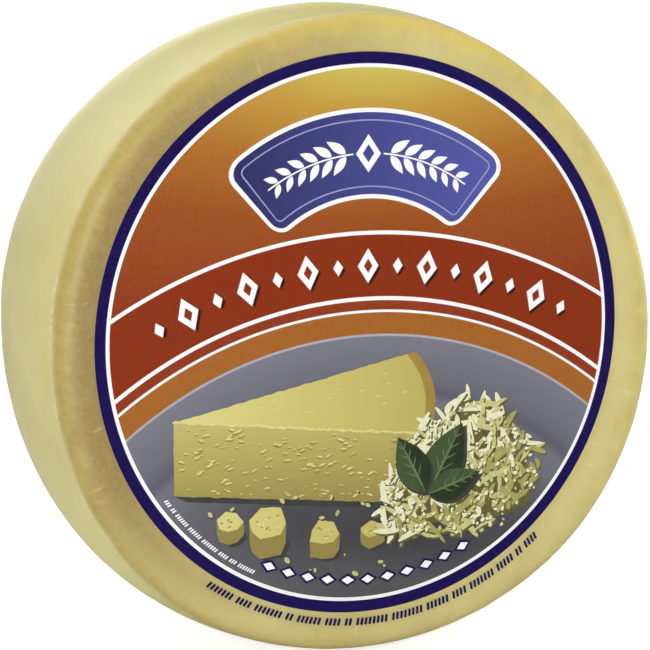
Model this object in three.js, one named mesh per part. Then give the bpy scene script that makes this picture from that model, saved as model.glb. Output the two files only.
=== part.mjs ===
// A whole wheel of parmesan in skin-tight clear film, standing on its rim, with a thin
// round printed label on its front face. Millimetres, +Z up. The wheel's axis runs along
// Y, the label faces -Y, and the origin is the middle of the footprint on the floor.

import * as THREE from 'three';
import { mergeVertices } from 'three/addons/utils/BufferGeometryUtils.js';

// The wheel. Its side wall bulges like a barrel stave between two rounded edges, and
// each face is dished inside its rim.
const WHEEL_DIAMETER = 250;
const WHEEL_THICKNESS = 90;
const SIDE_WALL_CURVE = 170;
const EDGE_ROUND = 7;
const DISH_DEPTH = 2.5;
const DISH_FLAT_RADIUS = 102;

// The wheel has settled on its rim: its axis is lower than its radius, which leaves a
// small flat spot on the underside.
const AXIS_HEIGHT = 122;

// A pressed cheese is not a true circle. Each entry is a count of swells round the rim,
// how far they stand out, and where the first one points, in degrees from +X to +Z.
const RIM_SWELLS = [
  { count: 2, height: 1.0, toward: -26 },
  { count: 3, height: 1.0, toward: -19 },
  { count: 4, height: 0.45, toward: -30 },
  { count: 5, height: 0.3, toward: 7 },
];

// The rims of the two faces rise and fall a little on their way round.
const RIM_WAVES = [
  { count: 3, height: 0.35, toward: 50 },
  { count: 7, height: 0.2, toward: 12 },
];

// The label is a thin round sheet that lies in the front dish, a little off centre.
const LABEL_RADIUS = 105;
const LABEL_THICKNESS = 0.4;
const LABEL_CLEARANCE = 0.3;
const LABEL_OFF_CENTRE = { x: -0.6, z: 1.6 };
const LABEL_FLAT_RADIUS = 99;

// How finely the round forms are divided.
const SECTORS = 96;
const DISH_FLAT_RINGS = 2;
const DISH_SLOPE_RINGS = 5;
const EDGE_RINGS = 6;
const SIDE_WALL_RINGS = 8;
const LABEL_SLOPE_RINGS = 4;

const WHEEL_RADIUS = WHEEL_DIAMETER / 2;
const HALF_THICKNESS = WHEEL_THICKNESS / 2;

// Where the side wall's curve runs over into the edge's round.
const EDGE_ANGLE = Math.asin((HALF_THICKNESS - EDGE_ROUND) / (SIDE_WALL_CURVE - EDGE_ROUND));
const SIDE_WALL_CENTRE = WHEEL_RADIUS - SIDE_WALL_CURVE;
const CREST_RADIUS = SIDE_WALL_CENTRE + (SIDE_WALL_CURVE - EDGE_ROUND) * Math.cos(EDGE_ANGLE);

const CHEESE_MATERIAL = new THREE.MeshStandardMaterial({
  color: new THREE.Color(0xcdc08a),
  roughness: 0.35,
  metalness: 0,
});

const LABEL_MATERIAL = new THREE.MeshStandardMaterial({
  color: new THREE.Color(0x9a5a34),
  roughness: 0.3,
  metalness: 0,
});

// Sum of a list of swells at an angle round the wheel, in millimetres.
function swellAt(swells, angle) {
  let sum = 0;
  for (const { count, height, toward } of swells) {
    sum += height * Math.cos(count * (angle - THREE.MathUtils.degToRad(toward)));
  }
  return sum;
}

// How far a face lies below its crest at a radius: flat in the middle, then a soft slope.
function dishDepth(radius) {
  const climb = THREE.MathUtils.clamp(
    (radius - DISH_FLAT_RADIUS) / (CREST_RADIUS - DISH_FLAT_RADIUS), 0, 1);
  return DISH_DEPTH * (1 + Math.cos(Math.PI * climb)) / 2;
}

// How much of the rim's rise and fall a radius takes: none in the middle of a face.
function waveShare(radius) {
  return THREE.MathUtils.smoothstep(radius, DISH_FLAT_RADIUS, CREST_RADIUS);
}

// Moves a point of the true round form to its place on the uneven cheese.
function settle(point) {
  const radius = Math.hypot(point.x, point.z);
  const angle = Math.atan2(point.z, point.x);
  const stretch = 1 + swellAt(RIM_SWELLS, angle) / WHEEL_RADIUS;
  const towardFace = THREE.MathUtils.clamp(point.y / HALF_THICKNESS, -1, 1);
  point.y += towardFace * waveShare(radius) * swellAt(RIM_WAVES, angle);
  point.x *= stretch;
  point.z = Math.max(point.z * stretch, -AXIS_HEIGHT);
}

// Applies a change to every vertex and welds the mesh into one closed skin.
function reshape(geometry, change) {
  const position = geometry.getAttribute('position');
  const point = new THREE.Vector3();
  for (let i = 0; i < position.count; i += 1) {
    point.fromBufferAttribute(position, i);
    change(point);
    position.setXYZ(i, point.x, point.y, point.z);
  }
  geometry.deleteAttribute('normal');
  geometry.deleteAttribute('uv');
  return mergeVertices(geometry, 1e-4);
}

// Half of the wheel's section, from the middle of a face to the middle of the side wall.
function faceToSideWall(side) {
  const points = [];
  for (let i = 0; i <= DISH_FLAT_RINGS; i += 1) {
    points.push([DISH_FLAT_RADIUS * i / DISH_FLAT_RINGS, HALF_THICKNESS - DISH_DEPTH]);
  }
  for (let i = 1; i <= DISH_SLOPE_RINGS; i += 1) {
    const radius = THREE.MathUtils.lerp(DISH_FLAT_RADIUS, CREST_RADIUS, i / DISH_SLOPE_RINGS);
    points.push([radius, HALF_THICKNESS - dishDepth(radius)]);
  }
  for (let i = 1; i <= EDGE_RINGS; i += 1) {
    const angle = THREE.MathUtils.lerp(Math.PI / 2, EDGE_ANGLE, i / EDGE_RINGS);
    points.push([
      CREST_RADIUS + EDGE_ROUND * Math.cos(angle),
      HALF_THICKNESS - EDGE_ROUND + EDGE_ROUND * Math.sin(angle),
    ]);
  }
  for (let i = 1; i <= SIDE_WALL_RINGS / 2; i += 1) {
    const angle = THREE.MathUtils.lerp(EDGE_ANGLE, 0, i / (SIDE_WALL_RINGS / 2));
    points.push([
      SIDE_WALL_CENTRE + SIDE_WALL_CURVE * Math.cos(angle),
      SIDE_WALL_CURVE * Math.sin(angle),
    ]);
  }
  return points.map(([radius, height]) => new THREE.Vector2(radius, side * height));
}

// The cheese in its film: one closed body, front and back alike.
function cheeseWheel() {
  const front = faceToSideWall(-1);
  const back = faceToSideWall(1).reverse().slice(1);
  const geometry = new THREE.LatheGeometry([...front, ...back], SECTORS);
  return new THREE.Mesh(reshape(geometry, settle), CHEESE_MATERIAL);
}

// The label's sheet: its two sides follow the dish at two heights above the cheese.
function faceLabel() {
  const rings = [0, LABEL_FLAT_RADIUS / 2];
  for (let i = 0; i <= LABEL_SLOPE_RINGS; i += 1) {
    rings.push(THREE.MathUtils.lerp(LABEL_FLAT_RADIUS, LABEL_RADIUS, i / LABEL_SLOPE_RINGS));
  }
  const outside = rings.map((radius) => new THREE.Vector2(radius, -LABEL_THICKNESS));
  const inside = rings.map((radius) => new THREE.Vector2(radius, 0)).reverse();
  const geometry = new THREE.LatheGeometry([...outside, ...inside], SECTORS);
  const lay = (point) => {
    point.x += LABEL_OFF_CENTRE.x;
    point.z += LABEL_OFF_CENTRE.z;
    const angle = Math.atan2(point.z, point.x);
    const stretch = 1 + swellAt(RIM_SWELLS, angle) / WHEEL_RADIUS;
    const radius = Math.hypot(point.x, point.z) / stretch;
    const wave = waveShare(radius) * swellAt(RIM_WAVES, angle);
    point.y -= HALF_THICKNESS - dishDepth(radius) + wave + LABEL_CLEARANCE;
  };
  return new THREE.Mesh(reshape(geometry, lay), LABEL_MATERIAL);
}

const parmesanWheel = new THREE.Group();

const wheel = cheeseWheel();
wheel.name = 'cheese_wheel';
parmesanWheel.add(wheel);

const label = faceLabel();
label.name = 'face_label';
parmesanWheel.add(label);

// The uneven wheel stands on the floor with its footprint's middle at the origin.
const middle = new THREE.Box3().setFromObject(parmesanWheel).getCenter(new THREE.Vector3());
parmesanWheel.position.set(-middle.x, -middle.y, AXIS_HEIGHT);

export default parmesanWheel;
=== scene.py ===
import math
import random

import bmesh
import bpy
from mathutils import Matrix, Vector, noise


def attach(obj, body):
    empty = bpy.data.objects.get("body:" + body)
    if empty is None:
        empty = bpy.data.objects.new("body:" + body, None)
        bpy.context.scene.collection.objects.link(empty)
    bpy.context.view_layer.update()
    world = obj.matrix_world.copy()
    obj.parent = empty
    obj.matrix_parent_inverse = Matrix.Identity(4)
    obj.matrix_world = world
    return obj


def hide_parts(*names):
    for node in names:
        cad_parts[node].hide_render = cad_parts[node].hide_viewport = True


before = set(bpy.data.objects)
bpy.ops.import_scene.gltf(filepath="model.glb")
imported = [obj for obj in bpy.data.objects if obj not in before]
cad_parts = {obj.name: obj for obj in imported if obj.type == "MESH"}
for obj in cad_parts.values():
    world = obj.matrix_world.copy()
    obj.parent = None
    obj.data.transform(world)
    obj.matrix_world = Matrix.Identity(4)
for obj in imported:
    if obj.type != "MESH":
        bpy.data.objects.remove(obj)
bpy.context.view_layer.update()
scene = bpy.context.scene
scene.view_settings.view_transform = "Standard"

# The photograph's view: a long lens a little to the left of the upright wheel and a
# little above its middle, so that the side wall shows on the left and along the top.
MM = 0.001
AXIS_X = -0.8 * MM
AXIS_HEIGHT = 122 * MM
HALF_THICKNESS = 45 * MM
PHOTO_WIDTH_PX = 650
FOCAL_LENGTH_PX = 2008
SENSOR_WIDTH_MM = 36
VIEW_FROM_LEFT = math.radians(22.17)
VIEW_FROM_ABOVE = math.radians(8.39)
VIEW_DISTANCE = 743.8 * MM
FACE_RIGHT_OF_CENTRE = 17.4 * MM
FACE_BELOW_CENTRE = 6.2 * MM

lens = bpy.data.cameras.new("photo_lens")
lens.lens = SENSOR_WIDTH_MM * FOCAL_LENGTH_PX / PHOTO_WIDTH_PX
lens.sensor_width = SENSOR_WIDTH_MM
lens.clip_start = 0.01
camera = bpy.data.objects.new("photo_camera", lens)
camera.rotation_euler = (math.pi / 2 - VIEW_FROM_ABOVE, 0, -VIEW_FROM_LEFT)
face_centre = Vector((AXIS_X, -HALF_THICKNESS, AXIS_HEIGHT))
camera.location = face_centre + camera.rotation_euler.to_matrix() @ Vector(
    (-FACE_RIGHT_OF_CENTRE, FACE_BELOW_CENTRE, VIEW_DISTANCE))
scene.collection.objects.link(camera)
scene.camera = camera


# A white studio: a paper floor that sweeps up behind the wheel, a large soft light from
# the left in front, another overhead, two that fill the right side and the back, and a
# pale room that is dimmer towards the front.
FLOOR_DEPTH = 3.0
FLOOR_WIDTH = 8.0
SWEEP_RADIUS = 1.0
SWEEP_SEGMENTS = 24
BACKDROP_HEIGHT = 3.0
PAPER_WHITE = (0.74, 0.74, 0.74, 1)
PAPER_GLOW = 0.75
DIM_SIDE_LEVEL = 0.25
WHITE_SIDE_LEVEL = 0.48


def soft_light(name, place, size, watts, colour):
    light = bpy.data.lights.new(name, "AREA")
    light.shape = "DISK"
    light.size = size
    light.energy = watts
    light.color = colour
    lamp = bpy.data.objects.new(name, light)
    lamp.location = place
    toward_wheel = Vector((0, 0, AXIS_HEIGHT)) - Vector(place)
    lamp.rotation_euler = toward_wheel.to_track_quat("-Z", "Y").to_euler()
    scene.collection.objects.link(lamp)


def studio_sweep():
    bm = bmesh.new()
    line = [
        bm.verts.new((-FLOOR_WIDTH / 2, -FLOOR_DEPTH, 0)),
        bm.verts.new((-FLOOR_WIDTH / 2, FLOOR_DEPTH, 0)),
        bm.verts.new((-FLOOR_WIDTH / 2, FLOOR_DEPTH, BACKDROP_HEIGHT)),
    ]
    bm.edges.new(line[:2])
    bm.edges.new(line[1:])
    bmesh.ops.bevel(
        bm, geom=[line[1]], offset=SWEEP_RADIUS, offset_type="OFFSET",
        segments=SWEEP_SEGMENTS, profile=0.5, affect="VERTICES", material=-1)
    swept = bmesh.ops.extrude_edge_only(bm, edges=bm.edges[:])
    moved = [v for v in swept["geom"] if isinstance(v, bmesh.types.BMVert)]
    bmesh.ops.translate(bm, verts=moved, vec=(FLOOR_WIDTH, 0, 0))
    bmesh.ops.recalc_face_normals(bm, faces=bm.faces[:])
    mesh = bpy.data.meshes.new("studio_sweep")
    bm.to_mesh(mesh)
    bm.free()
    mesh.shade_smooth()
    sweep = bpy.data.objects.new("studio_sweep", mesh)
    scene.collection.objects.link(sweep)
    paper = bpy.data.materials.new("white_paper")
    paper.use_nodes = True
    shader = paper.node_tree.nodes["Principled BSDF"]
    shader.inputs["Base Color"].default_value = PAPER_WHITE
    shader.inputs["Roughness"].default_value = 0.9
    shader.inputs["Specular IOR Level"].default_value = 0.0
    shader.inputs["Emission Color"].default_value = (1, 1, 1, 1)
    seen = paper.node_tree.nodes.new("ShaderNodeLightPath")
    glow = paper.node_tree.nodes.new("ShaderNodeMath")
    glow.operation = "MULTIPLY"
    glow.inputs[1].default_value = PAPER_GLOW
    paper.node_tree.links.new(seen.outputs["Is Camera Ray"], glow.inputs[0])
    paper.node_tree.links.new(glow.outputs["Value"], shader.inputs["Emission Strength"])
    mesh.materials.append(paper)


def studio_room():
    world = bpy.data.worlds.new("white_room")
    world.use_nodes = True
    tree = world.node_tree
    toward = tree.nodes.new("ShaderNodeTexCoord")
    parts = tree.nodes.new("ShaderNodeSeparateXYZ")
    tree.links.new(toward.outputs["Generated"], parts.inputs["Vector"])
    level = tree.nodes.new("ShaderNodeMapRange")
    level.interpolation_type = "SMOOTHSTEP"
    level.inputs["From Min"].default_value = -0.9
    level.inputs["From Max"].default_value = 0.1
    level.inputs["To Min"].default_value = DIM_SIDE_LEVEL
    level.inputs["To Max"].default_value = WHITE_SIDE_LEVEL
    tree.links.new(parts.outputs["Y"], level.inputs["Value"])
    seen = tree.nodes.new("ShaderNodeLightPath")
    bright = tree.nodes.new("ShaderNodeMath")
    bright.operation = "MAXIMUM"
    tree.links.new(level.outputs["Result"], bright.inputs[0])
    tree.links.new(seen.outputs["Is Camera Ray"], bright.inputs[1])
    backing = tree.nodes["Background"]
    backing.inputs["Color"].default_value = (1, 1, 1, 1)
    tree.links.new(bright.outputs["Value"], backing.inputs["Strength"])
    scene.world = world


studio_sweep()
studio_room()
soft_light("key_left", (-0.9, -1.9, 0.3), 1.4, 36, (1.0, 0.99, 0.97))
soft_light("overhead", (-0.35, 0.5, 1.5), 1.2, 9.5, (1.0, 1.0, 0.98))
soft_light("fill_right", (2.3, 0.2, 0.25), 1.2, 20, (1.0, 0.99, 0.96))
soft_light("fill_back", (0.6, 2.3, 0.25), 1.2, 24, (1.0, 0.99, 0.96))


# The cheese: one pressed wheel with a barrel side wall, rounded edges and dished
# faces, a little out of round and settled on its rim. A fine grid is rolled up into the
# wheel and then moved by the unevenness of a real cheese.
WHEEL_RADIUS = 125 * MM
SIDE_WALL_CURVE = 170 * MM
EDGE_ROUND = 7 * MM
DISH_DEPTH = 2.5 * MM
DISH_FLAT_RADIUS = 102 * MM
LABEL_KEEPOUT_RADIUS = 107 * MM

# Swells of the outline and waves of the faces' rims: how many go round, how high they
# are, and where the first one points.
RIM_SWELLS = (
    (2, 1.0 * MM, math.radians(-26)),
    (3, 1.0 * MM, math.radians(-19)),
    (4, 0.45 * MM, math.radians(-30)),
    (5, 0.3 * MM, math.radians(7)),
)
RIM_WAVES = (
    (3, 0.35 * MM, math.radians(50)),
    (7, 0.2 * MM, math.radians(12)),
)

# How finely the round forms are divided.
WHEEL_SECTORS = 360
DISH_FLAT_RINGS = 10
DISH_SLOPE_RINGS = 16
EDGE_RINGS = 14
SIDE_WALL_RINGS = 22
FLOOR_GAP = 0.3 * MM

# Its colours: pale side walls, yellower edges and slopes, and painted light and shade: painted
# shade that makes the edges and slopes tan on the left, walls painted paler up high and low
# down, a top painted darker, and an edge painted brighter up high.
WALL = ((214, 203, 121), (226, 216, 144))
PAINTED_LIGHT_HIGH_WALL = (233, 226, 170)
PAINTED_BOUNCE_LOW_WALL = (238, 232, 152)
PAINTED_SHADE_CROWN = (208, 197, 100)
BAND = ((204, 184, 92), (224, 210, 124))
PAINTED_LIGHT_BAND = (240, 214, 104)
SHADED_BAND = (160, 138, 62)
SLOPE = ((202, 186, 118), (213, 202, 134))
TAN = ((148, 118, 60), (174, 146, 84))
CREAM = (230, 220, 164)
GLINT = (255, 254, 240)
GRIT = (140, 112, 64)

# The edge's yellow band and the painted highlight line in it, measured from the middle of the
# wheel's thickness, and the place of the painted glints on the left edge.
BAND_BEGINS = 38.4 * MM
BAND_FULL = 43 * MM
PAINTED_HIGHLIGHT_LINE = 39.4 * MM
GLINTS_AT = (-122 * MM, -40 * MM, 134 * MM)

edge_angle = math.asin((HALF_THICKNESS - EDGE_ROUND) / (SIDE_WALL_CURVE - EDGE_ROUND))
side_wall_centre = WHEEL_RADIUS - SIDE_WALL_CURVE
crest_radius = side_wall_centre + (SIDE_WALL_CURVE - EDGE_ROUND) * math.cos(edge_angle)


def blend_between(low, high, share):
    return low + (high - low) * share


def soft_step(value, low, high):
    share = min(max((value - low) / (high - low), 0), 1)
    return share * share * (3 - 2 * share)


def swell_at(swells, angle):
    return sum(height * math.cos(count * (angle - toward)) for count, height, toward in swells)


def dish_depth(radius):
    climb = min(max((radius - DISH_FLAT_RADIUS) / (crest_radius - DISH_FLAT_RADIUS), 0), 1)
    return DISH_DEPTH * (1 + math.cos(math.pi * climb)) / 2


def half_section(side):
    """Radius and depth from the middle of a face out to the middle of the side wall."""
    points = []
    for i in range(DISH_FLAT_RINGS + 1):
        points.append((DISH_FLAT_RADIUS * i / DISH_FLAT_RINGS, HALF_THICKNESS - DISH_DEPTH))
    for i in range(1, DISH_SLOPE_RINGS + 1):
        radius = blend_between(DISH_FLAT_RADIUS, crest_radius, i / DISH_SLOPE_RINGS)
        points.append((radius, HALF_THICKNESS - dish_depth(radius)))
    for i in range(1, EDGE_RINGS + 1):
        angle = blend_between(math.pi / 2, edge_angle, i / EDGE_RINGS)
        points.append((
            crest_radius + EDGE_ROUND * math.cos(angle),
            HALF_THICKNESS - EDGE_ROUND + EDGE_ROUND * math.sin(angle)))
    for i in range(1, SIDE_WALL_RINGS + 1):
        angle = blend_between(edge_angle, 0, i / SIDE_WALL_RINGS)
        points.append((
            side_wall_centre + SIDE_WALL_CURVE * math.cos(angle),
            SIDE_WALL_CURVE * math.sin(angle)))
    return [(radius, side * depth) for radius, depth in points]


def settled(point):
    """Where a place on the true round wheel lies on the uneven one."""
    radius = math.hypot(point.x, point.z)
    angle = math.atan2(point.z, point.x)
    stretch = 1 + swell_at(RIM_SWELLS, angle) / WHEEL_RADIUS
    toward_face = min(max(point.y / HALF_THICKNESS, -1), 1)
    wave = soft_step(radius, DISH_FLAT_RADIUS, crest_radius) * swell_at(RIM_WAVES, angle)
    return Vector((point.x * stretch, point.y + toward_face * wave, point.z * stretch))


def past_label(point):
    """0 where the label lies on the front face, then rising to 1 at the rim."""
    radius = math.hypot(point.x, point.z)
    return soft_step(radius, LABEL_KEEPOUT_RADIUS, WHEEL_RADIUS) if point.y < 0 else 1


def cheese_relief(point):
    broad = noise.noise(point / (38 * MM)) * 0.25 * MM
    lumps = noise.noise(point / (14 * MM)) * 0.15 * MM
    at_edge = soft_step(abs(point.y), HALF_THICKNESS - 16 * MM, HALF_THICKNESS - EDGE_ROUND)
    dents = noise.noise(point / (9 * MM)) * 0.2 * MM * at_edge
    return past_label(point) * (broad + lumps + dents)


def turned_wheel(name, floor_gap, surface):
    """Rolls a grid up into the wheel. surface says how far each place stands out."""
    section = half_section(-1) + half_section(1)[-2::-1]
    last = len(section) - 1
    bm = bmesh.new()
    bmesh.ops.create_grid(bm, x_segments=last, y_segments=WHEEL_SECTORS, size=1)
    for vert in bm.verts:
        radius, depth = section[round((vert.co.x + 1) / 2 * last)]
        angle = math.pi * (vert.co.y + 1)
        vert.co = (radius * math.cos(angle), depth, radius * math.sin(angle))
    bmesh.ops.remove_doubles(bm, verts=bm.verts[:], dist=0.001 * MM)
    bmesh.ops.recalc_face_normals(bm, faces=bm.faces[:])
    bm.normal_update()
    outward = {vert: vert.normal.copy() for vert in bm.verts}
    for vert, normal in outward.items():
        place = settled(vert.co)
        vert.co = place + normal * surface(place)
        vert.co.x += AXIS_X
        vert.co.z = max(vert.co.z + AXIS_HEIGHT, floor_gap)
    mesh = bpy.data.meshes.new(name)
    bm.to_mesh(mesh)
    bm.free()
    mesh.shade_smooth()
    piece = bpy.data.objects.new(name, mesh)
    scene.collection.objects.link(piece)
    return piece


def tone(red, green, blue):
    """A colour given in the usual 0 to 255 steps, as the linear colour that shaders take."""
    steps = [channel / 255 for channel in (red, green, blue)]
    linear = [s / 12.92 if s <= 0.04045 else ((s + 0.055) / 1.055) ** 2.4 for s in steps]
    return (*linear, 1)


# The sockets that a Mix node uses for colours.
MIX_SHARE, MIX_FIRST, MIX_SECOND = 0, 6, 7
MIX_RESULT = 2


class Nodes:
    """Short names for the shader nodes that the wheel's finishes are wired from."""

    def __init__(self, tree, place):
        self.tree = tree
        self.place = place

    def add(self, kind, **settings):
        node = self.tree.nodes.new("ShaderNode" + kind)
        for name, value in settings.items():
            setattr(node, name, value)
        return node

    def feed(self, socket, value):
        if isinstance(value, bpy.types.NodeSocket):
            self.tree.links.new(value, socket)
        else:
            socket.default_value = value

    def math(self, operation, first, second=0.0):
        node = self.add("Math", operation=operation)
        self.feed(node.inputs[0], first)
        self.feed(node.inputs[1], second)
        return node.outputs["Value"]

    def times(self, first, second):
        return self.math("MULTIPLY", first, second)

    def plus(self, first, second):
        return self.math("ADD", first, second)

    def minus(self, first, second):
        return self.math("SUBTRACT", first, second)

    def between(self, value, low, high):
        """0 at low and 1 at high, and no further."""
        node = self.add("MapRange")
        node.inputs["From Min"].default_value = low
        node.inputs["From Max"].default_value = high
        self.feed(node.inputs["Value"], value)
        return node.outputs["Result"]

    def coordinate(self, axis):
        node = self.add("SeparateXYZ")
        self.feed(node.inputs["Vector"], self.place)
        return node.outputs[axis]

    def distance(self, centre, squash=(1, 1, 1)):
        """How far a place lies from a centre, with each direction squashed or not."""
        mapping = self.add("Mapping", vector_type="POINT")
        mapping.inputs["Scale"].default_value = squash
        self.feed(mapping.inputs["Vector"], self.place)
        apart = self.add("VectorMath", operation="DISTANCE")
        apart.inputs[1].default_value = [c * s for c, s in zip(centre, squash)]
        self.feed(apart.inputs[0], mapping.outputs["Vector"])
        return apart.outputs["Value"]

    def speckle(self, size, detail=2.0, roughness=0.5, place=None):
        node = self.add("TexNoise")
        node.inputs["Scale"].default_value = 1 / size
        node.inputs["Detail"].default_value = detail
        node.inputs["Roughness"].default_value = roughness
        self.feed(node.inputs["Vector"], place or self.place)
        return node.outputs["Fac"]

    def patches(self, size, detail=2.0, roughness=0.5):
        return self.between(self.speckle(size, detail, roughness), 0.3, 0.7)

    def mix(self, share, first, second):
        """Blends two colours, each a socket or given in 0 to 255 steps."""
        node = self.add("Mix", data_type="RGBA")
        self.feed(node.inputs[MIX_SHARE], share)
        for socket, colour in ((MIX_FIRST, first), (MIX_SECOND, second)):
            if isinstance(colour, tuple):
                colour = tone(*colour)
            self.feed(node.inputs[socket], colour)
        return node.outputs[MIX_RESULT]

    def ramp(self, value, *stops):
        node = self.add("ValToRGB")
        elements = node.color_ramp.elements
        while len(elements) < len(stops):
            elements.new(1)
        for element, (position, colour) in zip(elements, stops):
            element.position = position
            element.color = tone(*colour)
        self.feed(node.inputs["Fac"], value)
        return node.outputs["Color"]


class Finish(Nodes):
    """A material whose Principled shader is fed by nodes on Object coordinates."""

    def __init__(self, name):
        self.material = bpy.data.materials.new(name)
        self.material.use_nodes = True
        super().__init__(self.material.node_tree, None)
        self.place = self.add("TexCoord").outputs["Object"]
        self.shader = self.tree.nodes["Principled BSDF"].inputs

    def bump(self, height, depth, strength):
        node = self.add("Bump")
        node.inputs["Strength"].default_value = strength
        node.inputs["Distance"].default_value = depth
        self.feed(node.inputs["Height"], height)
        self.feed(self.shader["Normal"], node.outputs["Normal"])


def cheese_finish():
    """Mottled paste: a pale wall, a yellow edge and slopes, with painted shade that makes the
    edge and slopes tan on the left, painted light and shade on the wall and edge, and a
    painted highlight line with glints.
    """
    finish = Finish("parmesan_paste")
    broad = finish.patches(30 * MM)
    patchy = finish.patches(9 * MM, 4)
    fine = finish.patches(2.4 * MM, 3)
    grain = finish.patches(0.7 * MM, 3)
    across, along, up = (finish.coordinate(axis) for axis in "XYZ")
    leftward = finish.between(across, 20 * MM, -84 * MM)
    lowered = finish.between(up, 95 * MM, 35 * MM)
    raised = finish.between(up, 110 * MM, 190 * MM)
    topmost = finish.between(up, 208 * MM, 244 * MM)
    from_axis = finish.distance((AXIS_X, 0, AXIS_HEIGHT), (1, 0, 1))

    wall = finish.mix(broad, *WALL)
    # Painted light: the wall is paler higher up.
    wall = finish.mix(finish.times(raised, 0.6), wall, PAINTED_LIGHT_HIGH_WALL)
    # Painted bounce light: the wall is paler low down, near the floor.
    wall = finish.mix(finish.times(lowered, 0.6), wall, PAINTED_BOUNCE_LOW_WALL)
    # Painted shade: the very top of the wall is darker.
    wall = finish.mix(finish.times(topmost, 0.8), wall, PAINTED_SHADE_CROWN)
    slope = finish.mix(broad, *SLOPE)
    band = finish.mix(patchy, *BAND)
    band = finish.mix(finish.times(broad, 0.6), band, slope)
    # Painted light: the band is brighter higher up.
    band = finish.mix(finish.times(raised, 0.75), band, PAINTED_LIGHT_BAND)
    # Painted shade: the band is darker and tanner on the left.
    band = finish.mix(finish.times(leftward, 0.72), band, SHADED_BAND)

    # Fine creases of the film across the edge, on coordinates unrolled from the wheel so
    # that they are even all the way round.
    turned = finish.math("ARCTAN2", across, finish.minus(up, AXIS_HEIGHT))
    unroll = finish.add("CombineXYZ")
    finish.feed(unroll.inputs["X"], finish.times(turned, WHEEL_RADIUS))
    finish.feed(unroll.inputs["Y"], finish.times(from_axis, 0.2))
    unrolled = unroll.outputs["Vector"]
    creases = finish.between(finish.speckle(2.6 * MM, 3, 0.6, unrolled), 0.4, 0.75)
    band = finish.mix(finish.times(creases, finish.times(patchy, 0.24)), band, CREAM)

    # The band begins at an uneven boundary on the edge's round.
    wobble = finish.times(finish.speckle(16 * MM, 3), 3 * MM)
    depth = finish.plus(finish.math("ABSOLUTE", along), wobble)
    off_wall = finish.between(depth, BAND_BEGINS, BAND_FULL)
    colour = finish.mix(off_wall, wall, band)

    # The slopes inside the rims, and the faces within them, with painted shade that makes them
    # tan on the left. Low on the left the painted shade lies further out, and it fades towards
    # the floor.
    shifted = finish.minus(from_axis, finish.times(lowered, 5 * MM))
    inward = finish.between(shifted, 121 * MM, 110 * MM)
    fringe = finish.plus(finish.times(patchy, 0.35), finish.times(grain, 0.2))
    on_slope = finish.between(finish.minus(inward, fringe), 0.0, 0.6)
    near_rim = finish.between(shifted, 92 * MM, 105 * MM)
    painted_shade = finish.times(finish.times(leftward, near_rim), 0.85)
    painted_shade = finish.times(painted_shade, finish.between(up, 22 * MM, 75 * MM))
    face = finish.mix(finish.times(patchy, 0.2), slope, band)
    face = finish.mix(painted_shade, face, finish.mix(grain, *TAN))
    colour = finish.mix(on_slope, colour, face)

    # A painted highlight line where the film turns the corner, stronger higher up and on the
    # left.
    from_line = finish.math("ABSOLUTE", finish.minus(depth, PAINTED_HIGHLIGHT_LINE))
    strength = finish.plus(finish.times(raised, 0.35), 0.15)
    strength = finish.plus(finish.times(leftward, 0.2), strength)
    strength = finish.times(strength, finish.plus(patchy, 0.4))
    line = finish.times(finish.between(from_line, 2.4 * MM, 0.2 * MM), strength)
    colour = finish.mix(line, colour, CREAM)

    # Painted glints on that line: a run of them on the left, and a few elsewhere.
    run = finish.between(finish.distance(GLINTS_AT), 26 * MM, 10 * MM)
    elsewhere = finish.between(finish.speckle(24 * MM, 1), 0.6, 0.66)
    sparks = finish.between(finish.speckle(1.1 * MM, 3, 0.7), 0.52, 0.6)
    glints = finish.times(sparks, finish.between(from_line, 0.8 * MM, 0.3 * MM))
    glints = finish.times(glints, finish.math("MAXIMUM", run, elsewhere))
    colour = finish.mix(glints, colour, GLINT)

    # Thin pale marks where the film has come off the edge, and grit all over, heavier in the
    # painted shade on the left.
    marks = finish.between(finish.speckle(3 * MM, 3, 0.6, unrolled), 0.64, 0.74)
    colour = finish.mix(finish.times(finish.times(marks, 0.45), off_wall), colour, CREAM)
    gritty = finish.times(grain, finish.plus(finish.times(painted_shade, 0.12), 0.07))
    colour = finish.mix(gritty, colour, GRIT)
    colour = finish.mix(finish.times(fine, 0.1), colour, CREAM)
    finish.feed(finish.shader["Base Color"], colour)
    finish.shader["Roughness"].default_value = 0.5
    finish.shader["Subsurface Weight"].default_value = 0.2
    finish.shader["Subsurface Radius"].default_value = (1.0, 0.62, 0.25)
    finish.shader["Subsurface Scale"].default_value = 4 * MM
    finish.bump(finish.speckle(1.6 * MM, 3), 0.12 * MM, 0.5)
    return finish.material


cheese = turned_wheel(
    "cheese", FLOOR_GAP, lambda point: cheese_relief(point) - FLOOR_GAP)
cheese.data.materials.append(cheese_finish())
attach(cheese, "root")
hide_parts("cheese_wheel")


# The label's sheet: a thin round sheet in the front dish, printed with a navy and white
# border, a field that goes from gold to rust, and a grey plate behind curved stripes.
# The inks are flat fields, each a hair above the one it overlaps.
LABEL_X = AXIS_X - 0.6 * MM
LABEL_Z = AXIS_HEIGHT + 1.6 * MM

# What is printed is drawn in millimetres from the label's middle, u to the right and v
# upwards, and a layer is a count of ink steps above the face.
LABEL_RADIUS = 105.0
NAVY_RING = 4.3
WHITE_RING = 1.4
FIELD_RADIUS = LABEL_RADIUS - NAVY_RING - WHITE_RING
RING_SECTORS = 240
INK_STEP = 0.02 * MM
SHEET_BACK = -8
SAME_RING = 0.01
PLATE_RADIUS = 150.0
PLATE_MIDDLE = (0, -PLATE_RADIUS)

# Each stripe's two edges, in millimetres outside the plate's, and its ink.
STRIPES = (
    (0, 0.9, "rim_light"), (0.9, 9, "amber"), (9, 10, "white"),
    (13.5, 15, "white"), (15, 38, "rust"), (38, 39.5, "white"),
)

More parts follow.
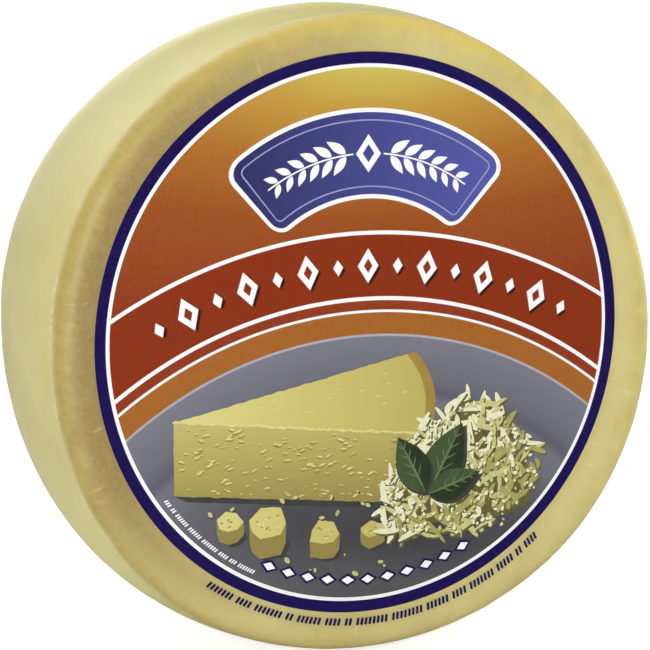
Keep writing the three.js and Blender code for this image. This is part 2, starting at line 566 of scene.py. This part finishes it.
# Each plain ink's thin and full tone.
PLAIN_INKS = {
    "navy": ((22, 10, 76), (32, 18, 88)),
    "white": ((252, 252, 253), (255, 255, 255)),
    "amber": ((162, 98, 38), (172, 108, 48)),
    "rust": ((134, 46, 16), (146, 56, 24)),
    "rim_light": ((168, 168, 178), (182, 182, 190)),
    "pale_blue": ((150, 154, 206), (164, 168, 214)),
    "deep_brown": ((52, 20, 12), (64, 26, 16)),
    "cheese_hollow": ((146, 132, 68), (158, 146, 78)),
    "cheese_glint": ((218, 210, 138), (228, 222, 154)),
    "rind": ((156, 132, 62), (172, 146, 76)),
    "rind_side": ((128, 104, 46), (146, 120, 58)),
    "crumb_shadow": ((62, 62, 60), (72, 72, 68)),
    "crumb_dark": ((92, 88, 46), (112, 108, 60)),
    "crumb_mid": ((162, 158, 94), (180, 176, 110)),
    "crumb_light": ((196, 194, 128), (212, 210, 148)),
    "crumb_bright": ((228, 228, 186), (244, 244, 216)),
    "leaf_dark": ((40, 50, 32), (50, 62, 40)),
    "leaf_mid": ((64, 80, 52), (78, 96, 64)),
    "leaf_vein": ((104, 118, 80), (116, 130, 92)),
}


def face_height(x, z):
    """How far in front of the wheel's middle its face lies at a place on the wheel."""
    angle = math.atan2(z - AXIS_HEIGHT, x - AXIS_X)
    stretch = 1 + swell_at(RIM_SWELLS, angle) / WHEEL_RADIUS
    radius = math.hypot(x - AXIS_X, z - AXIS_HEIGHT) / stretch
    wave = soft_step(radius, DISH_FLAT_RADIUS, crest_radius) * swell_at(RIM_WAVES, angle)
    return HALF_THICKNESS - dish_depth(radius) + wave


def uneven_ink_group():
    """Ink that lies a little thinner in places, between the two tones it is given."""
    group = bpy.data.node_groups.new("uneven_ink", "ShaderNodeTree")
    for name, kind in (("Place", "NodeSocketVector"), ("Thin", "NodeSocketColor"),
                       ("Full", "NodeSocketColor")):
        group.interface.new_socket(name=name, in_out="INPUT", socket_type=kind)
    group.interface.new_socket(name="Colour", in_out="OUTPUT", socket_type="NodeSocketColor")
    given = group.nodes.new("NodeGroupInput").outputs
    result = group.nodes.new("NodeGroupOutput").inputs
    nodes = Nodes(group, given["Place"])
    thickness = nodes.patches(2.5 * MM, 4, 0.7)
    nodes.feed(result["Colour"], nodes.mix(thickness, given["Thin"], given["Full"]))
    return group


uneven_ink = uneven_ink_group()


def gold_to_rust(finish):
    glow_centre = (LABEL_X + 4 * MM, -HALF_THICKNESS, LABEL_Z + 104 * MM)
    away = finish.between(
        finish.distance(glow_centre, (0.36, 1, 1)), 2 * MM, 96 * MM)
    return finish.ramp(
        away, (0, (212, 200, 98)), (0.2, (196, 154, 62)), (0.4, (176, 112, 38)),
        (0.62, (158, 80, 24)), (1, (144, 54, 18)))


def plaque_blue(finish):
    across = finish.between(finish.coordinate("X"), LABEL_X - 50 * MM, LABEL_X + 50 * MM)
    return finish.ramp(across, (0, (46, 42, 98)), (1, (84, 90, 170)))


def plate_grey(finish):
    plate_centre = (LABEL_X, -HALF_THICKNESS, LABEL_Z - PLATE_RADIUS * MM)
    outward = finish.between(finish.distance(plate_centre), 50 * MM, PLATE_RADIUS * MM)
    colour = finish.ramp(
        outward, (0, (84, 84, 86)), (0.6, (106, 106, 116)), (0.76, (116, 116, 128)),
        (0.8, (94, 94, 106)), (0.84, (108, 108, 120)), (1, (124, 124, 138)))
    for u, v, reach in ((-10, -64, 66), (40, -76, 54)):
        shade_centre = (LABEL_X + u * MM, 0, LABEL_Z + v * MM)
        away = finish.between(
            finish.distance(shade_centre, (1, 0, 2.4)), 0.4 * reach * MM, reach * MM)
        colour = finish.mix(away, finish.mix(0.5, colour, (30, 30, 30)), colour)
    return colour


def cheese_top(finish):
    across = finish.between(
        finish.coordinate("X"), LABEL_X - 76 * MM, LABEL_X + 26 * MM)
    return finish.ramp(
        across, (0, (224, 218, 142)), (0.5, (208, 198, 116)), (1, (192, 178, 96)))


def cheese_cut(finish):
    upward = finish.between(
        finish.coordinate("Z"), LABEL_Z - 66 * MM, LABEL_Z - 26 * MM)
    return finish.ramp(
        upward, (0, (150, 136, 74)), (0.35, (170, 156, 86)), (1, (200, 190, 114)))


SHADED_INKS = {
    "cheese_top": cheese_top,
    "cheese_cut": cheese_cut,
    "gold_to_rust": gold_to_rust,
    "plaque_blue": plaque_blue,
    "plate_grey": plate_grey,
}


def printed_finish(name):
    made = bpy.data.materials.get("ink_" + name)
    if made:
        return made
    finish = Finish("ink_" + name)
    if name in PLAIN_INKS:
        thin, full = (tone(*step) for step in PLAIN_INKS[name])
    else:
        full = SHADED_INKS[name](finish)
        thin = finish.mix(0.015, full, (255, 255, 255))
    ink = finish.add("Group", node_tree=uneven_ink)
    finish.feed(ink.inputs["Place"], finish.place)
    finish.feed(ink.inputs["Thin"], thin)
    finish.feed(ink.inputs["Full"], full)
    finish.feed(finish.shader["Base Color"], ink.outputs["Colour"])
    finish.shader["Roughness"].default_value = 0.4
    finish.shader["Specular IOR Level"].default_value = 0.05
    return finish.material


class Print:
    """One printed piece: flat shapes drawn in millimetres and laid on the wheel's face."""

    def __init__(self, name):
        self.name = name
        self.bm = bmesh.new()
        self.inks = []

    def ink_number(self, ink):
        if ink not in self.inks:
            self.inks.append(ink)
        return self.inks.index(ink)

    def lay(self, verts, ink, layer):
        for face in {face for vert in verts for face in vert.link_faces}:
            face.material_index = self.ink_number(ink)
        for vert in verts:
            x = LABEL_X + vert.co.x * MM
            z = LABEL_Z + vert.co.y * MM
            ahead = face_height(x, z) + (layer + vert.co.z) * INK_STEP
            vert.co = (x, -ahead, z)

    def fill(self, outline, ink, layer):
        """A filled outline, whose points run anticlockwise."""
        verts = [self.bm.verts.new((u, v, 0)) for u, v in outline]
        self.bm.faces.new(verts)
        self.lay(verts, ink, layer)

    def finish(self):
        mesh = bpy.data.meshes.new(self.name)
        self.bm.to_mesh(mesh)
        self.bm.free()
        for ink in self.inks:
            mesh.materials.append(printed_finish(ink))
        piece = bpy.data.objects.new(self.name, mesh)
        scene.collection.objects.link(piece)
        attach(piece, "root")
        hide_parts("face_label")


def arc(centre, radius, start, end, count):
    """Points along part of a circle, its angles in degrees."""
    points = []
    for i in range(count + 1):
        angle = math.radians(blend_between(start, end, i / count))
        points.append((
            centre[0] + radius * math.cos(angle), centre[1] + radius * math.sin(angle)))
    return points


def steps_between(inner, outer, count):
    return [blend_between(inner, outer, i / count) for i in range(count + 1)]


def field_edge(radius):
    """Where a circle round the plate's middle leaves the field, as the field's angle."""
    v = (radius ** 2 - FIELD_RADIUS ** 2 - PLATE_RADIUS ** 2) / (2 * PLATE_RADIUS)
    return math.degrees(math.asin(v / FIELD_RADIUS))


def plate_swing(radius):
    """The same place as an angle round the plate's middle."""
    edge = math.radians(field_edge(radius))
    return math.degrees(math.atan2(
        FIELD_RADIUS * math.sin(edge) + PLATE_RADIUS, FIELD_RADIUS * math.cos(edge)))


def stripe(inner, outer):
    """A curved band across the whole field, between two circles round the plate's middle."""
    low, high = plate_swing(inner), plate_swing(outer)
    near, far = field_edge(inner), field_edge(outer)
    return (
        arc(PLATE_MIDDLE, outer, high, 180 - high, 60)
        + arc((0, 0), FIELD_RADIUS, 180 - far, 180 - near, 12)[1:]
        + arc(PLATE_MIDDLE, inner, 180 - low, low, 60)[1:]
        + arc((0, 0), FIELD_RADIUS, near, far, 12)[1:-1])


def ring_order(place):
    """Puts places on the sheet in order, since a spin makes its faces in no fixed one."""
    turn = round(math.atan2(place.y, place.x), 5)
    return (place.z * 10 + turn) * 1000 + math.hypot(place.x, place.y)


sheet = Print("label_sheet")
rings = [0, FIELD_RADIUS] + steps_between(FIELD_RADIUS + WHITE_RING, LABEL_RADIUS, 6)
section = [(radius, 0) for radius in rings] + [(radius, SHEET_BACK) for radius in rings[::-1]]
rail = [sheet.bm.verts.new((radius, 0, step)) for radius, step in section]
edges = [sheet.bm.edges.new(pair) for pair in zip(rail, rail[1:])]
bmesh.ops.spin(
    sheet.bm, geom=rail + edges, cent=(0, 0, 0), axis=(0, 0, 1), dvec=(0, 0, 0),
    angle=math.tau, steps=RING_SECTORS, use_merge=True)
bmesh.ops.remove_doubles(sheet.bm, verts=sheet.bm.verts[:], dist=0.001)
bmesh.ops.recalc_face_normals(sheet.bm, faces=sheet.bm.faces[:])
sheet.bm.verts.sort(key=lambda vert: ring_order(vert.co))
sheet.bm.faces.sort(key=lambda face: ring_order(face.calc_center_median()))
ring_inks = []
for face in sheet.bm.faces:
    on_back = face.calc_center_bounds().z < 0
    outermost = max(math.hypot(vert.co.x, vert.co.y) for vert in face.verts)
    past_field = outermost - FIELD_RADIUS - SAME_RING
    if on_back or 0 < past_field < WHITE_RING:
        ring_inks.append("white")
    else:
        ring_inks.append("gold_to_rust" if past_field < 0 else "navy")
sheet.lay(sheet.bm.verts[:], "white", 0)
for face, ink in zip(sheet.bm.faces, ring_inks):
    face.material_index = sheet.ink_number(ink)
sheet.finish()

field = Print("label_field")
plate_edge = field_edge(PLATE_RADIUS)
edge_swing = plate_swing(PLATE_RADIUS)
field.fill(
    arc(PLATE_MIDDLE, PLATE_RADIUS, edge_swing, 180 - edge_swing, 60)
    + arc((0, 0), FIELD_RADIUS, 180 - plate_edge, 360 + plate_edge, 120)[1:-1],
    "plate_grey", 2)
for inner, outer, ink in STRIPES:
    field.fill(stripe(PLATE_RADIUS + inner, PLATE_RADIUS + outer), ink, 3)
field.finish()


# The ornaments: a blue plaque arched along the top, with two plain leaf sprigs and a
# diamond on it, a row of diamonds with drop shadows along the rust stripe, and a chain of
# lozenges at the foot. All are flat ink, drawn straight and then wrapped round a circle.
# A shape made of layers lists its sizes, ink and layer, and a stem its length, height
# and corner.
BAR_COLUMN = 1.9
PLAQUE_RADIUS = 68.0
PLAQUE_LENGTH = 98.0
PLAQUE_HEIGHT = 30.0
PLAQUE_CORNER = 5.0
PLAQUE_LINES = (
    (1.6, "white", 3), (0, "plaque_blue", 4), (-2.6, "pale_blue", 5),
    (-3.1, "plaque_blue", 6),
)
PLAQUE_DIAMOND = ((10, 14, "white", 7), (4.6, 6.6, "plaque_blue", 8))
SPRIG_LEAVES = 6
SPRIG_START = 9.0
SPRIG_SPACING = 5.6
SPRIG_LEAF_LEAN = 42
SPRIG_INK_LAYER = 7
STEM_MIDDLE = 24.0
STEM_SIZE = (36, 0.6, 0.25)
STRIPE_MIDDLE = PLATE_RADIUS + 26.5
DIAMONDS_EACH_SIDE = 7
DIAMOND_SPACING = 12.0
LARGE_DIAMOND = (8.4, 13)
SMALL_DIAMOND = (4, 6)
DIAMOND_HOLE = (3.4, 5.4)
SHADOW_SHIFT = 0.9
FOOT_LOZENGE = ((7.8, 5.2, "navy", 27), (5.2, 3.2, "white", 28))
FOOT_LOZENGES_EACH_SIDE = 5
FOOT_CHAIN_RADIUS = 92.5
FOOT_CHAIN_SPACING = 8.2


def bar(printed, length, height, corner):
    """A bar with rounded corners, cut into columns so that it can be wrapped."""
    corners = bmesh.ops.create_grid(
        printed.bm, x_segments=1, y_segments=1, size=0.5)["verts"]
    bmesh.ops.scale(printed.bm, vec=(length, height, 1), verts=corners)
    rounded = bmesh.ops.bevel(
        printed.bm, geom=corners, offset=corner, offset_type="OFFSET", segments=6,
        profile=0.5, affect="VERTICES", material=-1)["verts"]
    filled = rounded[0].link_faces[0]
    shape = [filled, *filled.edges, *filled.verts]
    columns = int(length / BAR_COLUMN)
    for i in range(1, columns):
        shape = bmesh.ops.bisect_plane(
            printed.bm, geom=shape, dist=0.001, plane_no=(1, 0, 0),
            plane_co=(length * (i / columns - 0.5), 0, 0))["geom"]
    return [part for part in shape if isinstance(part, bmesh.types.BMVert)]


def diamond(printed, width, height):
    verts = bmesh.ops.create_circle(printed.bm, cap_ends=True, segments=4, radius=0.5)["verts"]
    bmesh.ops.scale(printed.bm, vec=(width, height, 1), verts=verts)
    return verts


def leaf(printed, length, width, halves=(-1, 1)):
    """A pointed leaf from its root along +X. halves picks both sides or one of them."""
    verts = bmesh.ops.create_circle(printed.bm, cap_ends=True, segments=24, radius=1)["verts"]
    for vert in verts:
        along = (vert.co.x + 1) / 2
        side = 1 if vert.co.y > 0 else -1
        swell = math.sin(math.pi * along ** 0.8) * width / 2 if side in halves else 0
        vert.co = (along * length, side * abs(swell), 0)
    return verts


def move(verts, place, degrees=0):
    """Turns a shape about its own origin and carries it to a place on the label."""
    carry = Matrix.Translation((*place, 0)) @ Matrix.Rotation(math.radians(degrees), 4, "Z")
    for vert in verts:
        vert.co = carry @ vert.co


def wrap(verts, centre, radius, middle=90):
    """Wraps a straight drawing round a circle, its middle at an angle in degrees."""
    for vert in verts:
        angle = math.radians(middle) - vert.co.x / radius
        reach = radius + vert.co.y
        vert.co = (
            centre[0] + reach * math.cos(angle), centre[1] + reach * math.sin(angle), 0)


def centred(count_each_side):
    return range(-count_each_side, count_each_side + 1)


ornament = Print("label_ornament")
for grow, ink, layer in PLAQUE_LINES:
    verts = bar(
        ornament, PLAQUE_LENGTH + 2 * grow, PLAQUE_HEIGHT + 2 * grow, PLAQUE_CORNER + grow)
    wrap(verts, (0, 0), PLAQUE_RADIUS)
    ornament.lay(verts, ink, layer)
for side in (-1, 1):
    for i in range(SPRIG_LEAVES):
        for lean in (-1, 1):
            verts = leaf(ornament, 8.6 - 0.6 * i, 3.4 - 0.2 * i)
            root = (side * (SPRIG_START + SPRIG_SPACING * i), lean * 0.6)
            move(verts, root, 90 - side * 90 + side * lean * SPRIG_LEAF_LEAN)
            wrap(verts, (0, 0), PLAQUE_RADIUS)
            ornament.lay(verts, "white", SPRIG_INK_LAYER)
    verts = bar(ornament, *STEM_SIZE)
    move(verts, (side * STEM_MIDDLE, 0))
    wrap(verts, (0, 0), PLAQUE_RADIUS)
    ornament.lay(verts, "white", SPRIG_INK_LAYER)
for width, height, ink, layer in PLAQUE_DIAMOND:
    verts = diamond(ornament, width, height)
    wrap(verts, (0, 0), PLAQUE_RADIUS)
    ornament.lay(verts, ink, layer)
for i in centred(DIAMONDS_EACH_SIDE):
    size = SMALL_DIAMOND if i % 2 else LARGE_DIAMOND
    layers = [(size, SHADOW_SHIFT, "deep_brown", 4), (size, 0, "white", 5)]
    if size == LARGE_DIAMOND:
        layers.append((DIAMOND_HOLE, 0, "rust", 6))
    for (width, height), shift, ink, layer in layers:
        verts = diamond(ornament, width, height)
        move(verts, (i * DIAMOND_SPACING + shift, -shift))
        wrap(verts, PLATE_MIDDLE, STRIPE_MIDDLE)
        ornament.lay(verts, ink, layer)
for i in centred(FOOT_LOZENGES_EACH_SIDE):
    for width, height, ink, layer in FOOT_LOZENGE:
        verts = diamond(ornament, width, height)
        move(verts, (i * FOOT_CHAIN_SPACING, 0))
        wrap(verts, (0, 0), FOOT_CHAIN_RADIUS, -90)
        ornament.lay(verts, ink, layer)
ornament.finish()


# The still life on the plate, seen from a little above: a wedge of parmesan with its
# rind, broken lumps, a heap of coarse gratings with crumbs about it, and three basil
# leaves. Every shape is flat ink in one tone over its own shadow.
DEPTH_SHORTENED = 0.5
HEIGHT_SHORTENED = 0.87
PLATE_LEVEL = -54.0
WEDGE_TIP = (-76.0, 0.0)
WEDGE_LENGTH = 104.0
WEDGE_HEIGHT = 31.0
WEDGE_FRONT_ANGLE = -13
WEDGE_BACK_ANGLE = 23
RIND_THICKNESS = 4.0
HOLLOWS = 170
PITS = 18
EDGE_CHIPS = 70
BROKEN_LUMPS = ((-40, -42, 14), (-17, -50, 11), (-55, -33, 9), (2, -48, 8))
LUMP_SIDES = 7
LUMP_HEIGHT = 0.62
HEAP_MIDDLE = 42.0
HEAP_FOOT = -76.0
HEAP_HALF_WIDTH = 38.0
HEAP_HEIGHT = 44.0
HEAP_OUTLINE_POINTS = 40
GRATINGS = 330
HEAP_CRUMBS = 260
LOOSE_CRUMBS = 90
LEAF_VEIN_PAIRS = 4
VEIN_LEAN = 38

# Each basil leaf's root, length, width and heading in degrees.
BASIL = (((26, -60), 28, 16, 62), ((24, -61), 25, 14, 118), ((25, -62), 23, 12, 18))

# Layers of ink from the plate upwards, and the steps between pieces that overlap.
GRAIN_LAYER = 5.0
EDGE_LAYER = 6.8
LUMP_LAYER = 7.6
HEAP_LAYER = 8.4
CRUMB_LAYER = 18.6
LOOSE_LAYER = 21.4
LEAF_LAYER = 22.6
SHRED_STEP = 0.03
GRAIN_STEP = 0.01

still_life = Print("label_still_life")
dice = random.Random(11)
noise.seed_set(11)


def on_plate(point, height):
    """Draws a place on the plate, at a height above it."""
    across, back = point
    return (across, PLATE_LEVEL + DEPTH_SHORTENED * back + HEIGHT_SHORTENED * height)


def raised_outline(points, height):
    return [on_plate(point, height) for point in points]


def broken(outline, step, depth):
    """Breaks an outline's edges up as crumbly cheese breaks."""
    points = []
    for start, end in zip(outline, outline[1:] + outline[:1]):
        count = max(1, round(math.dist(start, end) / step))
        for i in range(count):
            u = blend_between(start[0], end[0], i / count)
            v = blend_between(start[1], end[1], i / count)
            push = noise.noise_vector(Vector((u, v, 0)) / (2.2 * step)) * depth
            points.append((u + push.x, v + push.y))
    return points


def sliver(place, length, width, degrees, curl, ink, layer):
    """A curled shred or a crumb, thick in the middle."""
    verts = bmesh.ops.create_circle(
        still_life.bm, cap_ends=True, segments=10, radius=1)["verts"]
    for vert in verts:
        lift = curl * (1 - vert.co.x ** 2)
        vert.co = (vert.co.x * length / 2, vert.co.y * width / 2 + lift, 0)
    move(verts, place, degrees)
    still_life.lay(verts, ink, layer)


def inside_field(place, margin):
    return math.hypot(*place) < FIELD_RADIUS - margin


def on_bare_plate(u, v):
    """Whether a crumb there lies clear of the heap, the lumps and the border."""
    by_heap = math.hypot((u - HEAP_MIDDLE) / (HEAP_HALF_WIDTH + 4), (v - HEAP_FOOT - 10) / 30)
    by_lump = min(
        math.dist((u, v), on_plate((a, b), size / 3)) / size for a, b, size in BROKEN_LUMPS)
    return by_heap > 1 and by_lump > 0.8 and inside_field((u, v), 6)


def grating_ink(brightness):
    if brightness > 0.4:
        return "crumb_bright"
    return "crumb_light" if brightness > 0.05 else "crumb_mid"


# The wedge on its shadow: top, rind from above, cut side, and rind from the side.
rind_start = arc(
    WEDGE_TIP, WEDGE_LENGTH - RIND_THICKNESS, WEDGE_FRONT_ANGLE, WEDGE_BACK_ANGLE, 14)
wide_end = arc(WEDGE_TIP, WEDGE_LENGTH, WEDGE_FRONT_ANGLE, WEDGE_BACK_ANGLE, 14)
front_corner, rind_corner = rind_start[0], wide_end[0]
near_tip, near_rind = on_plate(WEDGE_TIP, 0), on_plate(rind_corner, 0)
shadow = [
    near_tip, (near_tip[0] + 5, near_tip[1] - 2.6), (near_rind[0] + 8, near_rind[1] - 3.4),
    (near_rind[0] + 6, near_rind[1] + 8), near_rind]
cut_side = [
    near_tip, on_plate(front_corner, 0), on_plate(front_corner, WEDGE_HEIGHT),
    on_plate(WEDGE_TIP, WEDGE_HEIGHT)]
rind_side = [
    on_plate(front_corner, 0), near_rind, on_plate(rind_corner, WEDGE_HEIGHT),
    on_plate(front_corner, WEDGE_HEIGHT)]
top = raised_outline([WEDGE_TIP] + rind_start, WEDGE_HEIGHT)
rind_top = raised_outline(rind_start[::-1] + wide_end, WEDGE_HEIGHT)
still_life.fill(broken(shadow, 2, 0.4), "crumb_shadow", 3.6)
still_life.fill(broken(top, 1.2, 0.35), "cheese_top", 4)
still_life.fill(rind_top, "rind", 4.2)
still_life.fill(broken(cut_side, 1.2, 0.5), "cheese_cut", 4.4)
still_life.fill(rind_side, "rind_side", 4.6)


def along_front(share):
    return [blend_between(WEDGE_TIP[axis], front_corner[axis], share) for axis in (0, 1)]


# The grain of its paste: hollows and glints on the cut side, pits in the top, and a
# bright broken edge between the two.
for i in range(HOLLOWS):
    spot = along_front(dice.uniform(0.02, 0.97))
    u, v = on_plate(spot, WEDGE_HEIGHT * dice.uniform(0.04, 0.94))
    length = dice.uniform(0.9, 3.4)
    degrees = dice.uniform(-30, 30)
    bright = "cheese_glint" if i % 3 else "cheese_top"
    sliver((u, v - 0.35), length, length * 0.42, degrees, 0.1, "cheese_hollow",
           GRAIN_LAYER + i * GRAIN_STEP)
    sliver((u, v + 0.1), length * 0.9, length * 0.26, degrees, 0.1, bright,
           GRAIN_LAYER + (i + 0.5) * GRAIN_STEP)
for i in range(PITS):
    angle = math.radians(dice.uniform(WEDGE_FRONT_ANGLE + 4, WEDGE_BACK_ANGLE - 4))
    reach = dice.uniform(0.3, 0.94) * (WEDGE_LENGTH - RIND_THICKNESS)
    spot = (WEDGE_TIP[0] + reach * math.cos(angle), WEDGE_TIP[1] + reach * math.sin(angle))
    u, v = on_plate(spot, WEDGE_HEIGHT)
    length = dice.uniform(0.8, 2.6)
    layer = GRAIN_LAYER + i * GRAIN_STEP
    sliver((u, v - 0.25), length, length * 0.4, 0, 0, "cheese_glint", layer)
    sliver((u, v), length, length * 0.32, 0, 0, "cheese_cut", layer + GRAIN_STEP / 2)
for i in range(EDGE_CHIPS):
    u, v = on_plate(along_front(i / EDGE_CHIPS), WEDGE_HEIGHT)
    sliver((u + 0.7, v + dice.uniform(-0.3, 0.3)), dice.uniform(1.4, 2.6),
           dice.uniform(0.5, 1.1), dice.uniform(-17, 17), 0, "cheese_glint",
           EDGE_LAYER + i * GRAIN_STEP)

# Lumps broken off it, each a top over the sides that face the viewer.
for u, y, size in BROKEN_LUMPS:
    ring = []
    for i in range(LUMP_SIDES):
        angle = math.tau * (i + dice.uniform(-0.25, 0.25)) / LUMP_SIDES
        reach = size * dice.uniform(0.5, 0.68)
        ring.append((u + reach * math.cos(angle), y + 1.5 * reach * math.sin(angle)))
    foot = raised_outline(ring, 0)
    head = raised_outline(ring, size * LUMP_HEIGHT)
    left, right = foot.index(min(foot)), foot.index(max(foot))
    facing = [(left + i) % LUMP_SIDES for i in range((right - left) % LUMP_SIDES + 1)]
    side = [foot[i] for i in facing] + [head[i] for i in facing[::-1]]
    under = [(a + 1.6, b - 1.0) for a, b in foot]
    still_life.fill(broken(under, 1.5, 0.3), "crumb_shadow", LUMP_LAYER)
    still_life.fill(broken(side, 1.5, 0.3), "cheese_cut", LUMP_LAYER + 0.1)
    still_life.fill(broken(head, 1.5, 0.3), "cheese_top", LUMP_LAYER + 0.2)
    for i in range(round(size)):
        spot = (u + dice.uniform(-0.34, 0.34) * size, y + dice.uniform(-0.4, 0.4) * size)
        length, degrees = dice.uniform(0.7, 1.8), dice.uniform(-40, 40)
        sliver(on_plate(spot, size * LUMP_HEIGHT), length, 0.6, degrees, 0,
               "cheese_glint" if i % 2 else "cheese_cut",
               LUMP_LAYER + 0.3 + i * GRAIN_STEP)

# The heap of gratings, from the back of the heap to the front.
heap_outline = []
for i in range(HEAP_OUTLINE_POINTS):
    angle = math.tau * i / HEAP_OUTLINE_POINTS
    reach = HEAP_HEIGHT * 0.85 if math.sin(angle) > 0 else 6
    heap_outline.append((
        HEAP_MIDDLE - 3 + (HEAP_HALF_WIDTH - 8) * math.cos(angle),
        HEAP_FOOT + 8 + reach * math.sin(angle)))
still_life.fill(broken(heap_outline, 2, 1.6), "crumb_dark", HEAP_LAYER)
spots = []
while len(spots) < GRATINGS:
    across, up = dice.uniform(-1, 1), dice.uniform(-0.18, 1)
    if across ** 2 + max(up, 0) ** 1.6 < 1:
        spots.append((up, across))
spots.sort(reverse=True)
for i, (up, across) in enumerate(spots):
    place = (HEAP_MIDDLE + HEAP_HALF_WIDTH * across, HEAP_FOOT + 6 + HEAP_HEIGHT * up)
    length = dice.uniform(4.5, 12.5)
    width = dice.uniform(1.4, 2.8)
    degrees = dice.uniform(0, 180)
    curl = dice.uniform(-1.6, 1.6)
    ink = grating_ink(0.5 * up - 0.35 * across + dice.uniform(-0.3, 0.5))
    if inside_field(place, 3 + length / 2):
        layer = HEAP_LAYER + (i + 1) * SHRED_STEP
        under = (place[0] + 0.6, place[1] - 0.8)
        sliver(under, length, width, degrees, curl, "crumb_dark", layer)
        sliver(place, length, width, degrees, curl, ink, layer + SHRED_STEP / 2)

# Fine crumbs over the heap, and stray ones on the plate.
for i in range(HEAP_CRUMBS):
    across = dice.uniform(-0.95, 0.95)
    up = dice.uniform(-0.2, 0.92) * math.sqrt(1 - across ** 2)
    u = HEAP_MIDDLE - 2 + (HEAP_HALF_WIDTH - 4) * across
    v = HEAP_FOOT + 6 + HEAP_HEIGHT * up
    length = dice.uniform(0.9, 2.4)
    degrees = dice.uniform(0, 180)
    if inside_field((u, v), 4):
        layer = CRUMB_LAYER + i * GRAIN_STEP
        ink = "crumb_bright" if i % 3 else "crumb_light"
        sliver((u + 0.3, v - 0.4), length, length * 0.8, degrees, 0, "crumb_dark", layer)
        sliver((u, v), length, length * 0.7, degrees, 0, ink, layer + GRAIN_STEP / 2)
for i in range(LOOSE_CRUMBS):
    u, v = dice.uniform(-66, 86), dice.uniform(-90, -58)
    length = dice.uniform(1.0, 3.0)
    degrees = dice.uniform(0, 180)
    if on_bare_plate(u, v):
        layer = LOOSE_LAYER + i * GRAIN_STEP
        sliver((u + 0.4, v - 0.5), length, length * 0.7, degrees, 0, "crumb_shadow", layer)
        sliver((u, v), length, length * 0.6, degrees, 0, "crumb_light",
               layer + GRAIN_STEP / 2)

# The basil leaves, each in two halves with its veins.
for number, (root, length, width, degrees) in enumerate(BASIL):
    layer = LEAF_LAYER + number
    parts = [
        ((1.2, -1.4), leaf(still_life, length, width), "crumb_shadow", 0),
        ((0, 0), leaf(still_life, length, width, (-1,)), "leaf_dark", 0.2),
        ((0, 0), leaf(still_life, length, width, (1,)), "leaf_mid", 0.2),
        ((0, 0), leaf(still_life, length * 0.93, 1.0), "leaf_vein", 0.4),
    ]
    for shift, verts, ink, above in parts:
        move(verts, (root[0] + shift[0], root[1] + shift[1]), degrees)
        still_life.lay(verts, ink, layer + above)
    heading = math.radians(degrees)
    for i in range(1, LEAF_VEIN_PAIRS + 1):
        along = length * (0.1 + 0.17 * i)
        fork = (root[0] + along * math.cos(heading), root[1] + along * math.sin(heading))
        for lean in (-VEIN_LEAN, VEIN_LEAN):
            verts = leaf(still_life, width * (0.5 - 0.07 * i), 0.5)
            move(verts, fork, degrees + lean)
            still_life.lay(verts, "leaf_vein", layer + 0.4)
still_life.finish()


# Two rows of fine strokes that lean like the turns of a cord, printed in flat ink: navy
# ones on the film below the label's border, and small white ones inside the border, low
# on the left. A stroke's width and the gaps are shares of its height.
STROKE_LEAN = -20
STROKE_LAYER = 26
STROKE_WIDTH = 0.34
STROKE_CORNER = 0.1
STROKE_SPACING = 0.62
RUN_GAP = 0.5
LONGEST_RUN = 8

# Each row's ink, radius, middle in degrees, length and height.
STROKE_ROWS = (("navy", 108.3, -88, 146, 2.7), ("white", 96.7, -132, 46, 1.7))

strokes = Print("label_strokes")
for ink, radius, middle, length, height in STROKE_ROWS:
    along = -length / 2
    while along < length / 2:
        for _ in range(dice.randint(2, LONGEST_RUN)):
            verts = bar(strokes, STROKE_WIDTH * height, height, STROKE_CORNER * height)
            move(verts, (along, 0), STROKE_LEAN)
            wrap(verts, (0, 0), radius, middle)
            strokes.lay(verts, ink, STROKE_LAYER)
            along += STROKE_SPACING * height
        along += RUN_GAP * height
strokes.finish()


# The film: one clear plastic skin shrunk tight round the whole wheel, label and all. It
# is turned like the cheese, a hair off it and, over the front face, clear of the ink.
FILM_CLEARANCE = 0.2 * MM
FILM_OVER_LABEL = 0.65 * MM
FILM_FRESNEL_IOR = 1.15
FILM_MOST_SEEN = 0.06


def film_surface(point):
    over_face = soft_step(-point.y, HALF_THICKNESS - EDGE_ROUND, HALF_THICKNESS - DISH_DEPTH)
    return blend_between(FILM_CLEARANCE, FILM_OVER_LABEL, over_face) + cheese_relief(point)


def film_finish():
    """Almost unseen from straight on, and a little paler at a glance."""
    finish = Finish("shrink_film")
    finish.shader["Base Color"].default_value = (1, 1, 1, 1)
    finish.shader["Metallic"].default_value = 1.0
    finish.shader["Roughness"].default_value = 0.42
    mirror = finish.add("Fresnel")
    mirror.inputs["IOR"].default_value = FILM_FRESNEL_IOR
    seen = finish.math("MINIMUM", mirror.outputs["Fac"], FILM_MOST_SEEN)
    finish.feed(finish.shader["Alpha"], seen)
    finish.bump(finish.speckle(20 * MM, 3), 0.5 * MM, 0.5)
    return finish.material


film = turned_wheel("film", 0, film_surface)
film.data.materials.append(film_finish())
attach(film, "root")
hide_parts("cheese_wheel")

bpy.context.view_layer.update()
